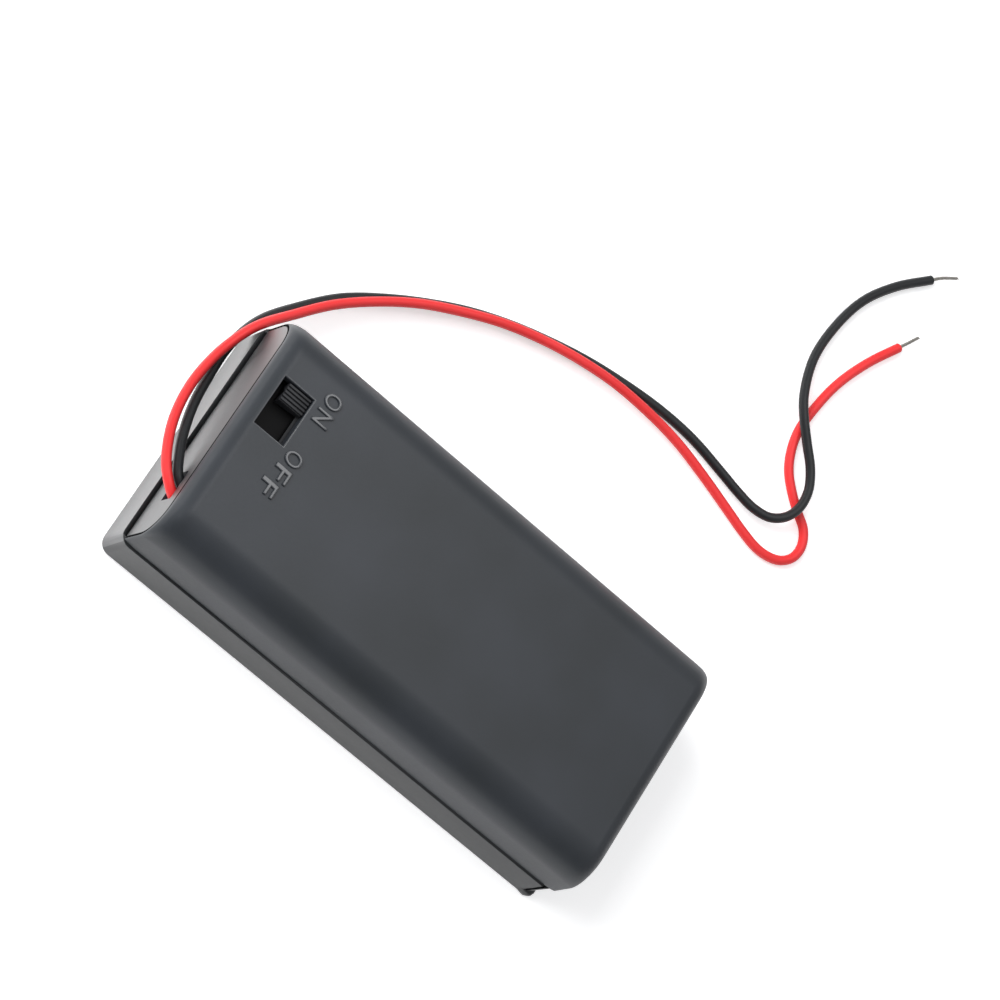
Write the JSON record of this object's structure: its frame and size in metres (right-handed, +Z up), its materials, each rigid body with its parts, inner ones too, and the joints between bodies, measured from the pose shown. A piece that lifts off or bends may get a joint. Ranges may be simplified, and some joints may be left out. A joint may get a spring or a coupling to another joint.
{
  "type": "aa battery holder",
  "caption": "Closed two-cell battery holder with a lid that clips on, a recessed slide switch and two loose leads at one end.",
  "frame": {"origin": "bottom centre of the closed case, on the outside of the lid, without the leads", "axes": "+X along the case away from the end where the leads leave, +Z up from the lid through the switch face, +Y towards the switch's on end"},
  "size_m": [0.0831, 0.1083, 0.0172],
  "materials": {
    "case_plastic": "moulded black plastic with a fine matt grain",
    "lid_plastic": "moulded black plastic, smooth",
    "knob_plastic": "black plastic",
    "contact_brass": "bare rolled brass",
    "base_board": "brown laminate board",
    "nickel_plate": "nickel-plated steel sheet",
    "spring_wire": "nickel-plated spring wire",
    "red_insulation": "soft glossy PVC insulation, red",
    "solder": "bright solder",
    "black_insulation": "soft glossy PVC insulation, black",
    "tinned_copper": "tinned copper strands"
  },
  "bodies": {
    "lid": {"battery_lid": "lid_plastic"},
    "case": {"case_body": "case_plastic", "switch_base": "base_board", "terminal_off": "contact_brass", "terminal_common": "contact_brass", "terminal_on": "contact_brass", "negative_plate": "nickel_plate", "negative_spring": "spring_wire", "positive_plate": "nickel_plate", "bridge_plate": "nickel_plate", "bridge_spring": "spring_wire", "link_lead": "red_insulation", "solder_joints": "solder", "red_inner_lead": "red_insulation", "black_inner_lead": "black_insulation", "red_lead": "red_insulation", "black_lead": "black_insulation", "red_tip": "tinned_copper", "black_tip": "tinned_copper"},
    "knob": {"switch_knob": "knob_plastic", "switch_wiper": "contact_brass"}
  },
  "joints": [
    {"name": "lid_removal", "type": "slide", "parent": "lid", "child": "case", "axis": [0, 0, 1], "range_m": [0, 0.025]},
    {"name": "switch_slide", "type": "slide", "parent": "case", "child": "knob", "axis": [0, -1, 0], "range_m": [0, 0.0042]}
  ]
}
